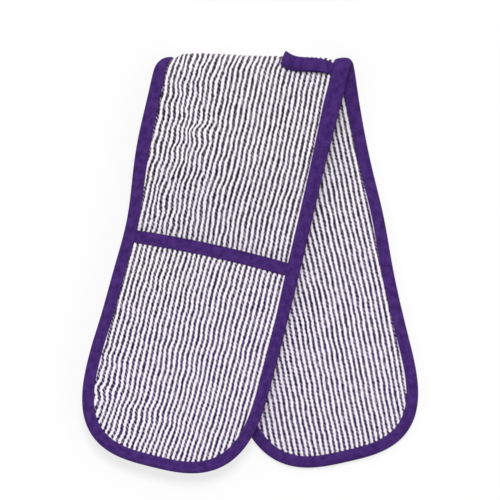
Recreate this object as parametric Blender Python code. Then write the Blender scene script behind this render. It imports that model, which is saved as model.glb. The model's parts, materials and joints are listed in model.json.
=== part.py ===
"""Double oven glove: one long quilted strip, bound all round, with a hand pocket at each end.

It lies folded in half on its rear half, pockets outward, with its fold at +Y and a hanging loop
beside the fold. Each half is planned flat, along and across the strip, and every surface has its
depth below the outer plane of that half. The fold bends the plan round a line along X. The rear
half is the front half turned over about Y.
"""

from dataclasses import dataclass
from math import acos, cos, exp, hypot, pi, radians, sin, tan

import bmesh
import bpy
from mathutils import Matrix, Vector

# The strip
WIDTH = 0.185
FRONT_LENGTH = 0.431
REAR_LENGTH = 0.425
FRONT_SKEW = radians(12.8)
REAR_SKEW = radians(13.6)
SWAY = 0.0053
END_LENGTH = 0.107
END_POWER = 2.95
FRONT_WAIST = 0.0045
REAR_WAIST = 0.0010
WAIST_SPREAD = 0.050
FLARE = 0.0050
FLARE_SPREAD = 0.110
FOLD_CROWN = 0.0025

# Cloth, wadding and the play between neighbouring pieces
FABRIC = 0.0007
PANEL_WADDING = 0.0024
POCKET_WADDING = 0.0018
GAP = 0.0003

# Pockets
MOUTH = 0.2035
MOUTH_BOW = 0.0040
MOUTH_SKEW_SHARE = 0.12
BOW_SPREAD = 0.060
CAVITY = 0.0070
RAMP_START = 0.100
RAMP_LEAD = 0.006
MOUTH_LOFT = 0.024

# Bindings
BINDING = 0.0008
BINDING_WIDTH = 0.012
MOUTH_BINDING_WIDTH = 0.013
BINDING_CORNER = 0.0012
EDGE_DROP = 0.0004

# Inset stations of the quilting, measured in from the bound edge
WADDING_INSET = 0.006
SHOULDER_INSET = 0.030
CROWN_INSET = 0.055
SHOULDER_DROP = 0.00025

# Share of the full wadding and of the full cavity at the stations: edge, wadding's edge,
# binding's edge, shoulder, crown and spine
WADDING_SHARES = (0.0, 0.3, 0.5, 0.9, 1.0, 1.0)
CAVITY_SHARES = (0.0, 0.0, 0.2, 0.65, 1.0, 1.0)
EDGE_DROP_SHARES = (1.0, 0.25, 0.0)

# Hanging loop
LOOP_TAPE = 0.0011
LOOP_WIDTH = 0.0145
LOOP_LENGTH = 0.0515
LOOP_GAP = 0.0054
LOOP_RISE = 0.015
LOOP_INSET = 0.011
LOOP_SETBACK = 0.0078
LOOP_TILT = radians(12)
LOOP_TURN = radians(8.5)

# Facets
BEND_STEPS = 4
FLAT_STEPS = 2
RAMP_STEPS = 4
BODY_STEPS = 2
FAN_STEPS = 16
LOOP_STEPS = 2
LOOP_TURN_STEPS = 6
ROW_SOLVE_STEPS = 4
CREASE = radians(40)

# What follows from the sizes above
PANEL = 2 * FABRIC + 2 * GAP + PANEL_WADDING
POCKET = 2 * FABRIC + 2 * GAP + POCKET_WADDING
FOLD_RADIUS = PANEL + CAVITY + POCKET
HALF_HEIGHT = FOLD_RADIUS + GAP / 2
BINDING_LIFT = GAP + BINDING
EDGE_INSET = BINDING + 2 * GAP
INSETS = (EDGE_INSET, WADDING_INSET, BINDING_WIDTH, SHOULDER_INSET, CROWN_INSET)
MOUTH_INSETS = (EDGE_INSET, WADDING_INSET, MOUTH_BINDING_WIDTH)
SHOULDER = INSETS.index(SHOULDER_INSET)
SPINE = len(INSETS)
RAMP_END = MOUTH - RAMP_LEAD
HINGE_REACH = FOLD_CROWN + GAP / 2


@dataclass(frozen=True)
class Half:
    """One half of the strip, from the fold to its rounded end."""

    name: str
    length: float
    skew: float
    waist: float
    flared_side: int

    @property
    def fan_centre(self):
        return self.length - END_LENGTH

    @property
    def bend_end(self):
        return FOLD_RADIUS * pi / 2 / cos(self.skew)


@dataclass(frozen=True)
class Row:
    """A line across the strip. It is parallel to the fold at skewed 1 and square to the strip at 0."""

    along: float
    skewed: float


def smooth(x):
    x = min(1.0, max(0.0, x))
    return x * x * (3 - 2 * x)


def bump(distance, spread):
    return exp(-((distance / spread) ** 2))


# The flat plan


def centre_line(half, along):
    """How far the middle of the strip strays sideways from a straight line."""
    share = along / half.length
    return 4 * SWAY * share * (1 - share)


def flare(half, side, along):
    """How much wider the binding spreads where it runs over the fold, at the loop's end of the fold."""
    return FLARE * bump(along, FLARE_SPREAD) if side == half.flared_side else 0


def half_width(half, side, along):
    """From the middle of the strip to its edge. The outer edge is drawn in beside the pocket's mouth."""
    waist = half.waist if side < 0 else 0
    return WIDTH / 2 - waist * bump(along - MOUTH, WAIST_SPREAD) + flare(half, side, along)


def inset_at(half, side, along, inset):
    """An inset past the binding's edge starts from the spread binding."""
    return inset + flare(half, side, along) * min(1, inset / BINDING_WIDTH)


def row_along(half, row, across):
    """How far along the strip a row lies, at a distance across it."""
    bow = MOUTH_BOW * bump(row.along - MOUTH, BOW_SPREAD) * (1 - (2 * across / WIDTH) ** 2)
    square = row.along - bow
    parallel = row.along
    for _ in range(ROW_SOLVE_STEPS):
        sideways = across + centre_line(half, parallel)
        parallel = row.along - sideways * tan(half.skew)
    return row.skewed * parallel + (1 - row.skewed) * square


def row_point(half, row, side, inset):
    """A point of the plan on a row, that far in from the edge. With no inset it is on the spine."""
    across = 0
    if inset is not None:
        edge = row_along(half, row, side * WIDTH / 2)
        across = side * (half_width(half, side, edge) - inset_at(half, side, edge, inset))
    along = row_along(half, row, across)
    return along, across + centre_line(half, along)


def fan_point(half, angle, inset):
    """A point of the plan on a ray of the rounded end. Angle 0 is the right edge and pi the left one."""
    if inset is None:
        return half.fan_centre, centre_line(half, half.fan_centre)
    power = 2 / END_POWER
    side = 1 if cos(angle) > 0 else -1
    forward = END_LENGTH * abs(sin(angle)) ** power
    across = side * half_width(half, side, half.fan_centre) * abs(cos(angle)) ** power
    reach = hypot(forward, across)
    normal = (
        (forward / END_LENGTH) ** (END_POWER - 1) / END_LENGTH,
        side * (2 * abs(across) / WIDTH) ** (END_POWER - 1) * 2 / WIDTH,
    )
    facing = (forward * normal[0] + across * normal[1]) / reach / hypot(*normal)
    kept = 1 - inset / facing / reach
    along = half.fan_centre + forward * kept
    return along, across * kept + centre_line(half, along)


@dataclass(frozen=True)
class Ray:
    """A line of the plan from the bound edge in to the spine: half a row, or a ray of the end."""

    half: Half
    row: Row
    side: int
    angle: float | None = None

    @property
    def along(self):
        return self.row.along if self.angle is None else self.half.length

    def point(self, inset):
        if self.angle is None:
            return row_point(self.half, self.row, self.side, inset)
        return fan_point(self.half, self.angle, inset)


def spread(start, end, steps):
    """The steps after start, up to and with end."""
    return [start + (end - start) * i / steps for i in range(1, steps + 1)]


def make_row(half, along):
    """Rows are parallel to the fold in the bend and turn square to the strip by the rounded end."""
    to_mouth = smooth((along - half.bend_end) / (RAMP_END - half.bend_end))
    to_end = smooth((along - MOUTH) / (half.fan_centre - MOUTH))
    return Row(along, 1 - to_mouth + MOUTH_SKEW_SHARE * (to_mouth - to_end))


def panel_rows(half):
    """Rows from the fold to the start of the rounded end."""
    places = [0] + spread(0, half.bend_end, BEND_STEPS)
    places += spread(half.bend_end, RAMP_START, FLAT_STEPS)
    places += spread(RAMP_START, RAMP_END, RAMP_STEPS)
    places += [MOUTH + EDGE_INSET, MOUTH + MOUTH_BINDING_WIDTH, MOUTH + MOUTH_LOFT]
    places += spread(MOUTH + MOUTH_LOFT, half.fan_centre, BODY_STEPS)
    return [make_row(half, along) for along in places]


def pocket_rows(half):
    """Rows from the pocket's mouth to the start of the rounded end."""
    places = [MOUTH + inset for inset in MOUTH_INSETS] + [MOUTH + MOUTH_LOFT]
    places += spread(MOUTH + MOUTH_LOFT, half.fan_centre, BODY_STEPS)
    return [make_row(half, along) for along in places]


def binding_rows(half):
    """The panel's rows, and one on the pocket's mouth, where the binding steps up onto the pocket."""
    rows = panel_rows(half) + [make_row(half, MOUTH)]
    return sorted(rows, key=lambda row: row.along)


def rays_round(half, rows):
    """Rays in order round the half: down the right edge, round the end and up the left edge."""
    right = [Ray(half, row, 1) for row in rows]
    fan = [Ray(half, rows[-1], 1, pi * i / FAN_STEPS) for i in range(1, FAN_STEPS)]
    left = [Ray(half, row, -1) for row in reversed(rows)]
    return right + fan + left


# Depths below the outer plane of a half


def outer_depth(station):
    """The outermost cloth: under the binding at the edges, and level with it inside."""
    if station < len(EDGE_DROP_SHARES):
        return BINDING_LIFT + EDGE_DROP * EDGE_DROP_SHARES[station]
    return SHOULDER_DROP if station == SHOULDER else 0


def quilt_thickness(wadding, share):
    """Two cloths with wadding between them, or two bare cloths where the wadding stops."""
    if share == 0:
        return 2 * FABRIC + GAP
    return 2 * FABRIC + 2 * GAP + wadding * share


def mouth_share(along):
    """Share of the pocket's wadding that the mouth's binding leaves, at a row's place."""
    for share, inset in zip(WADDING_SHARES, MOUTH_INSETS):
        if along < MOUTH + inset + GAP:
            return share
    return 1.0


def pocket_depths(half, station, along):
    """Top and bottom of the quilted pocket."""
    share = min(WADDING_SHARES[station], mouth_share(along))
    top = outer_depth(station)
    if along < MOUTH + MOUTH_BINDING_WIDTH + GAP:
        top = max(top, BINDING_LIFT)
    return top, top + quilt_thickness(POCKET_WADDING, share)


def panel_depths(half, station, along):
    """Top and bottom of the quilted strip, which drops away under the pocket to leave room for a hand.

    Inside the bindings the strip swells outward along the fold's crest."""
    pocket_bottom = outer_depth(station) + quilt_thickness(POCKET_WADDING, WADDING_SHARES[station])
    under_pocket = pocket_bottom + GAP + (CAVITY - GAP) * CAVITY_SHARES[station]
    dropped = smooth((along - RAMP_START) / (RAMP_END - RAMP_START))
    top = outer_depth(station) * (1 - dropped) + under_pocket * dropped
    if station >= len(EDGE_DROP_SHARES) and along < half.bend_end:
        top -= FOLD_CROWN * cos(along / half.bend_end * pi / 2) ** 2
    return top, top + quilt_thickness(PANEL_WADDING, WADDING_SHARES[station])


def outer_cloth(depths):
    """The cloth on the outer side of a quilted piece."""
    return lambda *at: (depths(*at)[0], depths(*at)[0] + FABRIC)


def inner_cloth(depths):
    """The cloth on the inner side of a quilted piece."""
    return lambda *at: (depths(*at)[1] - FABRIC, depths(*at)[1])


def filling(depths):
    """The wadding between a quilted piece's cloths."""
    cover = FABRIC + GAP
    return lambda *at: (depths(*at)[0] + cover, depths(*at)[1] - cover)


def place(half, plan_point, depth):
    """A point of the plan in the front half's space. The fold's hinge line is the X axis."""
    along, sideways = plan_point
    x = sideways * cos(half.skew) - along * sin(half.skew)
    from_fold = along * cos(half.skew) + sideways * sin(half.skew)
    angle = from_fold / FOLD_RADIUS
    if angle < pi / 2:
        radius = FOLD_RADIUS - depth
        y = radius * cos(angle) - FOLD_RADIUS
        z = radius * sin(angle) + GAP / 2
    else:
        y = -FOLD_RADIUS - (from_fold - FOLD_RADIUS * pi / 2)
        z = HALF_HEIGHT - depth
    return Vector((x, y - HINGE_REACH, z))


# Meshes


def finish_mesh(name, bm):
    bmesh.ops.recalc_face_normals(bm, faces=bm.faces)
    mesh = bpy.data.meshes.new(name)
    bm.to_mesh(mesh)
    bm.free()
    mesh.shade_smooth()
    mesh.set_sharp_from_angle(angle=CREASE)
    return mesh


def split_quad(bm, a, b, c, d):
    """Two triangles, always cut from a to c, so that neighbouring layers stay parallel."""
    for corners in ((a, b, c), (a, c, d)):
        if len(set(corners)) == 3:
            bm.faces.new(corners)


def layer_mesh(half, rows, first_station, depths):
    """A closed sheet over the plan, between the two depths that depths(half, station, along) gives."""
    bm = bmesh.new()
    rays = rays_round(half, rows)
    stations = range(first_station, SPINE + 1)
    spine = {}
    sheets = ([], [])
    for ray in rays:
        columns = ([], [])
        for station in stations:
            inset = INSETS[station] if station < SPINE else None
            level = depths(half, station, ray.along)
            for side in (0, 1):
                key = (ray.row, side)
                if inset is None and key in spine:
                    columns[side].append(spine[key])
                    continue
                vertex = bm.verts.new(place(half, ray.point(inset), level[side]))
                columns[side].append(vertex)
                if inset is None:
                    spine[key] = vertex
        sheets[0].append(columns[0])
        sheets[1].append(columns[1])
    for sheet in sheets:
        for one, two in zip(sheet, sheet[1:]):
            for i in range(len(one) - 1):
                split_quad(bm, one[i], one[i + 1], two[i + 1], two[i])
    rims = []
    for sheet in sheets:
        edge = [column[0] for column in sheet]
        across = sheet[-1][1:] + sheet[0][-2::-1]
        rims.append(edge + across)
    top, bottom = rims
    for i in range(len(top)):
        j = (i + 1) % len(top)
        split_quad(bm, top[i], top[j], bottom[j], bottom[i])
    return finish_mesh("layer", bm)


def wrap_section(insets, top, bottom):
    """Section of a binding folded round an edge: (inset, depth) from its outer leg's end and round.

    top and bottom are the wrapped edge's depths at the three insets."""
    outer = [
        (insets[2], top[2] - BINDING_LIFT),
        (insets[1], top[1] - BINDING_LIFT),
        (BINDING_CORNER, top[0] - BINDING_LIFT),
        (0, top[0] - BINDING_LIFT + BINDING_CORNER),
        (0, bottom[0] + BINDING_LIFT - BINDING_CORNER),
        (BINDING_CORNER, bottom[0] + BINDING_LIFT),
        (insets[1], bottom[1] + BINDING_LIFT),
        (insets[2], bottom[2] + BINDING_LIFT),
    ]
    inner = [
        (insets[2], bottom[2] + GAP),
        (insets[1], bottom[1] + GAP),
        (BINDING + GAP, bottom[0] + GAP),
        (BINDING + GAP, top[0] - GAP),
        (insets[1], top[1] - GAP),
        (insets[2], top[2] - GAP),
    ]
    return outer + inner


def loft_mesh(sections, insets):
    """A closed tube through sections of as many points each, capped at both ends.

    Its faces are cut from the lesser inset to the greater, as those of the layers beside it are."""
    bm = bmesh.new()
    rings = [[bm.verts.new(point) for point in section] for section in sections]
    for one, two in zip(rings, rings[1:]):
        for i in range(len(one)):
            near, far = sorted((i, (i + 1) % len(one)), key=lambda corner: insets[corner])
            split_quad(bm, one[near], one[far], two[far], two[near])
    bm.faces.new(rings[0])
    bm.faces.new(reversed(rings[-1]))
    return finish_mesh("loft", bm)


def edge_binding_mesh(half):
    """The binding round the half's edge, wrapped over the panel and, past the mouth, the pocket."""
    sections = []
    for ray in rays_round(half, binding_rows(half)):
        over = pocket_depths if ray.along >= MOUTH else panel_depths
        top = [over(half, station, ray.along)[0] for station in range(3)]
        bottom = [panel_depths(half, station, ray.along)[1] for station in range(3)]
        section = wrap_section(INSETS, top, bottom)
        sections.append([place(half, ray.point(inset), depth) for inset, depth in section])
    return loft_mesh(sections, [inset for inset, _ in section])


def mouth_binding_mesh(half):
    """The binding folded over the pocket's mouth, from one edge binding to the other."""
    reach = BINDING_WIDTH + GAP

    def levels(station, face):
        return [pocket_depths(half, station, MOUTH + inset)[face] for inset in MOUTH_INSETS]

    def between(face):
        """Levels at the binding's own end, a little in from the edge binding."""
        share = (reach - INSETS[2]) / (INSETS[3] - INSETS[2])
        pairs = zip(levels(2, face), levels(3, face))
        return [outer * (1 - share) + inner * share for outer, inner in pairs]

    columns = [(1, reach, between(0), between(1))]
    columns += [(1, INSETS[i], levels(i, 0), levels(i, 1)) for i in range(3, SPINE)]
    columns += [(1, None, levels(SPINE, 0), levels(SPINE, 1))]
    columns += [(-1, inset, top, bottom) for _, inset, top, bottom in reversed(columns[:-1])]
    sections = []
    for side, inset, top, bottom in columns:
        section = wrap_section(MOUTH_INSETS, top, bottom)
        rows = [make_row(half, MOUTH + offset) for offset, _ in section]
        plan = [row_point(half, row, side, inset) for row in rows]
        sections.append([place(half, point, depth) for point, (_, depth) in zip(plan, section)])
    return loft_mesh(sections, [offset for offset, _ in section])


def loop_frame(half):
    """Where the loop's ends are sewn down, with X along the loop, Z out of the glove."""
    away = FOLD_RADIUS * acos(1 - LOOP_SETBACK / FOLD_RADIUS)
    x = (WIDTH / 2 - LOOP_INSET - away * sin(half.skew)) / cos(half.skew)
    touch_y = FOLD_RADIUS * (sin(LOOP_TILT) - 1)
    touch_z = GAP / 2 + FOLD_RADIUS * cos(LOOP_TILT)
    z = touch_z + GAP / cos(LOOP_TILT) - (touch_y + LOOP_SETBACK) * -tan(LOOP_TILT)
    tilt = Matrix.Rotation(-LOOP_TILT, 4, "X")
    turn = Matrix.Rotation(pi - LOOP_TURN, 4, "Z")
    return Matrix.Translation((x, -LOOP_SETBACK - HINGE_REACH, z)) @ tilt @ turn


def loop_mesh():
    """One tape, doubled back on itself, with both ends sewn down together."""
    radius = (LOOP_GAP + LOOP_TAPE) / 2
    straight = LOOP_LENGTH - radius - LOOP_TAPE / 2
    low = LOOP_TAPE / 2
    start = low + LOOP_TAPE + GAP
    high = low + 2 * radius
    line = [(0, low)] + [(x, low) for x in spread(0, straight, LOOP_STEPS)]
    for i in range(1, LOOP_TURN_STEPS):
        angle = pi * i / LOOP_TURN_STEPS
        line.append((straight + radius * sin(angle), low + radius * (1 - cos(angle))))
    line.append((straight, high))
    for i in range(LOOP_TURN_STEPS, -1, -1):
        share = i / LOOP_TURN_STEPS
        line.append((LOOP_RISE * share, start + (high - start) * smooth(share)))
    outer, inner = [], []
    for i, (x, z) in enumerate(line):
        before, after = line[max(i - 1, 0)], line[min(i + 1, len(line) - 1)]
        run = Vector((after[0] - before[0], after[1] - before[1])).normalized()
        outer.append((x + run.y * LOOP_TAPE / 2, z - run.x * LOOP_TAPE / 2))
        inner.append((x - run.y * LOOP_TAPE / 2, z + run.x * LOOP_TAPE / 2))
    sections = []
    hinge = loop_hinge_height()
    for (ox, oz), (ix, iz) in zip(outer, inner):
        corners = ((ox, -1, oz), (ox, 1, oz), (ix, 1, iz), (ix, -1, iz))
        sections.append([(x, side * LOOP_WIDTH / 2, z - hinge) for x, side, z in corners])
    return loft_mesh(sections, (0, 0, 1, 1))


def loop_hinge_height():
    """The loop turns about the middle of its two stacked ends."""
    return LOOP_TAPE + GAP / 2


# Materials and objects


def make_material(name, colour, roughness):
    material = bpy.data.materials.new(name)
    material.use_nodes = True
    shader = material.node_tree.nodes["Principled BSDF"]
    shader.inputs["Base Color"].default_value = (*colour, 1)
    shader.inputs["Roughness"].default_value = roughness
    shader.inputs["Metallic"].default_value = 0
    return material


def add_empty(name, parent=None, matrix=Matrix.Identity(4)):
    empty = bpy.data.objects.new(name, None)
    empty.parent = parent
    empty.matrix_basis = matrix
    bpy.context.collection.objects.link(empty)
    return empty


def add_piece(name, mesh, material, parent):
    mesh.name = name
    mesh.materials.append(material)
    piece = bpy.data.objects.new(name, mesh)
    piece.parent = parent
    bpy.context.collection.objects.link(piece)
    return piece


def add_half(half, parent, striped, lining, wadding, trim):
    """The quilted panel, the quilted pocket and the two bindings of one half."""
    panel = panel_rows(half)
    pocket = pocket_rows(half)
    name = half.name
    pieces = (
        ("panel_face", layer_mesh(half, panel, 0, outer_cloth(panel_depths)), striped),
        ("panel_wadding", layer_mesh(half, panel, 1, filling(panel_depths)), wadding),
        ("panel_back", layer_mesh(half, panel, 0, inner_cloth(panel_depths)), striped),
        ("pocket_cover", layer_mesh(half, pocket, 0, outer_cloth(pocket_depths)), striped),
        ("pocket_wadding", layer_mesh(half, pocket[1:], 1, filling(pocket_depths)), wadding),
        ("pocket_lining", layer_mesh(half, pocket, 0, inner_cloth(pocket_depths)), lining),
        ("mouth_binding", mouth_binding_mesh(half), trim),
        ("edge_binding", edge_binding_mesh(half), trim),
    )
    for piece, mesh, material in pieces:
        add_piece(f"{name}_{piece}", mesh, material, parent)


def stand_on_origin(root):
    """Puts the middle of the glove's underside on the world's origin."""
    bpy.context.view_layer.update()
    corners = []
    for piece in bpy.context.scene.objects:
        if piece.type == "MESH":
            corners += [piece.matrix_world @ Vector(corner) for corner in piece.bound_box]
    low = [min(corner[i] for corner in corners) for i in range(3)]
    high = [max(corner[i] for corner in corners) for i in range(3)]
    root.location.x -= (low[0] + high[0]) / 2
    root.location.y -= (low[1] + high[1]) / 2
    root.location.z -= low[2]


def main():
    for old in list(bpy.context.scene.objects):
        bpy.data.objects.remove(old)
    striped = make_material("striped_cotton", (0.45, 0.41, 0.49), 0.95)
    lining = make_material("lining_cotton", (0.80, 0.77, 0.74), 0.95)
    wadding = make_material("wadding", (0.86, 0.85, 0.82), 1.0)
    trim = make_material("purple_cotton", (0.060, 0.024, 0.150), 0.85)

    front = Half("front", FRONT_LENGTH, FRONT_SKEW, FRONT_WAIST, 1)
    rear = Half("rear", REAR_LENGTH, REAR_SKEW, REAR_WAIST, -1)
    root = add_empty("glove")
    rear_half = add_empty("rear_half", root, Matrix.Rotation(pi, 4, "Y"))
    front_half = add_empty("front_half", root)
    add_half(rear, rear_half, striped, lining, wadding, trim)
    add_half(front, front_half, striped, lining, wadding, trim)

    lift = Matrix.Translation((0, 0, loop_hinge_height()))
    loop_hinge = add_empty("loop_hinge", front_half, loop_frame(front) @ lift)
    add_piece("hanging_loop", loop_mesh(), trim, loop_hinge)
    stand_on_origin(root)


main()
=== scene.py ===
"""The looks of a double oven glove, folded on a pale table and seen from straight above.

Every cloth, wadding and tape is a fine mesh laid on the same flat plan as the solids: along and
across the strip, with a depth below the outer plane of its half. Stripes, cords and quilting follow
the cloth's own coordinates, so they run on over the fold. Lengths are in metres.
"""

import json
from collections.abc import Callable
from dataclasses import dataclass
from math import cos, pi, radians, sin, tan

import bpy
import numpy as np
from mathutils import Matrix, Vector


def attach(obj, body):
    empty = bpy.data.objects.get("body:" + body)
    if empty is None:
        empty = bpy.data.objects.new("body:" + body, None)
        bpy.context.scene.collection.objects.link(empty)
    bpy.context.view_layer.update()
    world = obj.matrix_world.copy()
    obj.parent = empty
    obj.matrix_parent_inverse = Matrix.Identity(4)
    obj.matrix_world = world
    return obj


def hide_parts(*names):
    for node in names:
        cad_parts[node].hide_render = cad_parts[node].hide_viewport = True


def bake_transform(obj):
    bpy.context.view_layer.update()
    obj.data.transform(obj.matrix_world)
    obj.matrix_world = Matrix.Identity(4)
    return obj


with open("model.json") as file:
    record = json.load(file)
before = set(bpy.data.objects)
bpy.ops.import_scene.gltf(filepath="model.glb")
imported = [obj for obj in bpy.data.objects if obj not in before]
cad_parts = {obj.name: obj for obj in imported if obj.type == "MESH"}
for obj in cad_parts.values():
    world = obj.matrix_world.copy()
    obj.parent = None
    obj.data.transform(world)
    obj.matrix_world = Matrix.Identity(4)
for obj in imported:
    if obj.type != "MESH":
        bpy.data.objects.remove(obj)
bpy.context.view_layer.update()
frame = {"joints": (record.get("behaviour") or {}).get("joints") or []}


def joint_place(name):
    return np.array(next(joint["pos_m"] for joint in frame["joints"] if joint["name"] == name))


HINGE = joint_place("fold_hinge")
LOOP_HINGE = joint_place("loop_hinge")

# The strip, as in the solids
WIDTH = 0.185
FRONT_LENGTH = 0.431
REAR_LENGTH = 0.425
FRONT_SKEW = radians(12.8)
REAR_SKEW = radians(13.6)
SWAY = 0.0053
END_LENGTH = 0.107
END_POWER = 2.95
FLARE = 0.0050
FLARE_SPREAD = 0.075
PINCH = 0.0030
PINCH_SPREAD = 0.010
EDGE_SPREAD = 0.050
FABRIC = 0.0007
PANEL_WADDING = 0.0024
POCKET_WADDING = 0.0018
GAP = 0.0003
MOUTH = 0.2035
MOUTH_BOW = 0.0040
MOUTH_SKEW_SHARE = 0.12
BOW_SPREAD = 0.060
CAVITY = 0.0070
CAVITY_FROM = 0.100
CAVITY_FULL = MOUTH - 0.006
TAPE = 0.0008
TAPE_LIFT = GAP + TAPE
TAPE_WIDTH = 0.012
MOUTH_TAPE_WIDTH = 0.013
FOLD_RADIUS = 4 * FABRIC + 4 * GAP + PANEL_WADDING + CAVITY + POCKET_WADDING
HALF_HEIGHT = FOLD_RADIUS + GAP / 2
FOLD_CROWN = 0.0025
FOLD_CROWN_EDGE = 0.012
HINGE_REACH = FOLD_CROWN + GAP / 2
HALVES_PART_OVER = 0.004

# Shares of depth, wadding and hollow at stations in from the bound edge
STATIONS = (0.0014, 0.006, 0.012, 0.030, 0.055, 0.0925)
OUTER_DEPTHS = (TAPE_LIFT + 0.0004, TAPE_LIFT + 0.0001, TAPE_LIFT, 0.00025, 0, 0)
WADDING_SHARES = (0, 0.3, 0.5, 0.9, 1, 1)
CAVITY_SHARES = (0, 0, 0.2, 0.65, 1, 1)
STATION_RANGE = (-0.02, 0.12)
STATION_STEP = 0.0005
ROUNDING = 0.004
ROUNDING_STEPS = 20

# The crest's own rise, fall and lean. A pair is where something starts, and over what length
CREST_RISE = 0.0016
CREST_RISE_AT = 0.050
CREST_RISE_SPREAD = 0.035
CREST_FALL = 0.0024
CREST_FALL_FROM = 0.070
CREST_LEAN = 0.0030
CREST_LEAN_SPREAD = 0.017
CREST_LEAN_ENDS = (0.040, 0.045)

# Cloth
STRIPE = 0.0051
CORD_RISE = 0.00042
GROOVE_SHARE = 0.36
CORD_COLUMNS = 6
CLOTH = CORD_RISE + 0.0003
ROW = 0.0025
HIDDEN_ROW = 0.0060
HEM = 0.0036
END_MARGIN = 0.0005
END_SHARE = 0.9945
CLOTH_MARGIN = 0.0028
POCKET_FROM = MOUTH + 0.0022
PAD_FROM = MOUTH + 0.0080
MOUTH_DIP = (MOUTH + MOUTH_TAPE_WIDTH, 0.010)
POCKET_FILLS = (MOUTH, 0.020)
FOLD_REACH = 0.030
FOLD_ROW = 0.0014

# Bound edges
TAPE_REACH = 0.0017
TAPE_REACH_OVER = 0.040
TAPE_REACH_ENDS = (MOUTH, 0.080)
TAPE_ON_POCKET = (MOUTH - 0.010, 0.009)
TAPE_CORNER = 0.0027
TAPE_SWELL = 0.0010
TAPE_HEM = 0.0006
TAPE_RIPPLE = 0.00012
TAPE_WAVE = 0.030
TAPE_INSETS = (
    *(0, 0.0003, 0.0008, 0.0014, 0.0021, 0.0030, 0.0042),
    *(0.0058, 0.0075, 0.0092, 0.0108, 0.0115, 0.0120),
)
CREST_SWELL = 1.1
FLOOR_OVER = 0.018
RIM_STEP = 0.0017
MOUTH_TAPE_INSET = 0.0090
MOUTH_TAPE_DIP = TAPE_LIFT + 0.0004
MOUTH_TAPE_RISES = (TAPE_WIDTH - 0.0005, 0.004)
STITCH = 0.0033
STITCH_START = 0.12
STITCH_SHARE = 0.76
STITCH_MARGIN = 0.0018
STITCH_PRESSED = 0.0003
THREAD_RADIUS = 0.00026
NORMAL_STEP = 0.001

# Quilting
DIAMOND = 0.050
QUILT_ALONG = 0.016
QUILT_ACROSS = 0.012
QUILT_CELL = 0.0050
QUILT_DEPTH = 0.0011
QUILT_LIFT = 0.0006
QUILT_LIFT_WAVE = 0.020
QUILT_STEPS = 24
PUFF_FREE = (0.006, 0.024)
WANDER_WAVE = 0.060
WANDER_FINE_WAVE = 0.022
WANDER_FREE = (0.008, 0.030)
RUMPLE_SPREAD = 0.045
RUMPLE_WAVE = 0.024
PUSH_ALONG = 0.026
PUSH_ACROSS = 0.045
PUSH_FREE = (0.004, 0.012)
GRAIN_SLANT = 0.060
SLANT_FROM = 0.255
SLANT_EASE = 0.020
SQUEEZE_INSET = 0.0100

# Hanging loop
LOOP_TAPE = 0.0011
LOOP_WIDTH = 0.0145
LOOP_LENGTH = 0.0515
LOOP_GAP = 0.0054
LOOP_RISE = 0.015
LOOP_TILT = radians(12)
LOOP_TURN = radians(8.5)
LOOP_BOW = 0.0038
LOOP_DROP = 0.0026
LOOP_GATHER = 0.14
LOOP_SHEAR = 0.20
LOOP_CROWN = 0.0034
LOOP_ROLL = 0.0034
LOOP_SINK = 0.0024
LOOP_SUNK = 0.0070
LOOP_STEP = 0.0012
LOOP_SIDES = 28

# Striped cotton: shares of a stripe across, and of a stroke along. Its tone changes off the fold
BAND_SHARE = 0.235
BAND_BLUR = 0.04
STROKE = 0.0040
STROKE_SLOPE = 1.2
STROKE_REACH = 0.250
STROKE_SQUARENESS = 0.5
STROKE_SHARE = 0.60
STROKE_VARIES = 0.26
STROKE_SCATTER = 7.0
STROKE_WOBBLE = 0.7
STROKE_NUDGE = 0.10
STROKE_RAGGED = 0.15
TONE_LEAN = 0.6
TONE_FROM = 0.13
TONE_TO = 0.33
SEAM_SHARP = 0.00025
SEAM_BLURRED = 0.00045

# Colours, 0 to 255. A pair is by the fold and by the pockets, or from spot to spot
DEEP_STROKES = ((9, 2, 14), (16, 3, 40))
FADED_STROKES = ((34, 22, 42), (39, 19, 80))
BLED_DYE = ((194, 180, 202), (200, 176, 217))
WHITE_CORDS = ((246, 241, 248), (253, 249, 254))
QUILTING_THREAD = (226, 220, 230)
PURPLE_DYE = ((60, 31, 100), (80, 48, 124))
PURPLE_THREAD = (92, 66, 132)
UNBLEACHED = ((226, 221, 214), (240, 236, 229))
FIBRE_WHITE = ((222, 219, 211), (243, 241, 235))
TABLE_WHITE = (252, 252, 252)

# Light and view
SKY_LIGHT = 0.485
LAMP_LIGHT = 1.86
LAMP_SOFTNESS = radians(20)
LAMP_FROM = (0.02, 0.42, 1.0)
FLOOR_GLOW = 0.72
FLOOR_REACH = 3.0
FLOOR_GAP = 0.0001
VIEW_WIDTH = 0.500
VIEW_CENTRE = (-0.0023, 0.0115)
VIEW_ROLL = radians(0.95)
VIEW_DEPTH = 20
CAMERA_HEIGHT = 5.0
SENSOR_MM = 36


@dataclass(frozen=True)
class Half:
    """One half of the strip. mirror is 1 in front, and -1 for the half that is turned over.

    left and right are where those edges lie further out or in: (place, spread, how far out). So is
    left_tape for the tape alone."""

    body: str
    length: float
    skew: float
    mirror: int
    left: tuple
    right: tuple = ()
    left_tape: tuple = ()

    @property
    def fan_centre(self):
        return self.length - END_LENGTH

    @property
    def bend_end(self):
        return FOLD_RADIUS * pi / 2 / cos(self.skew)


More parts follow.
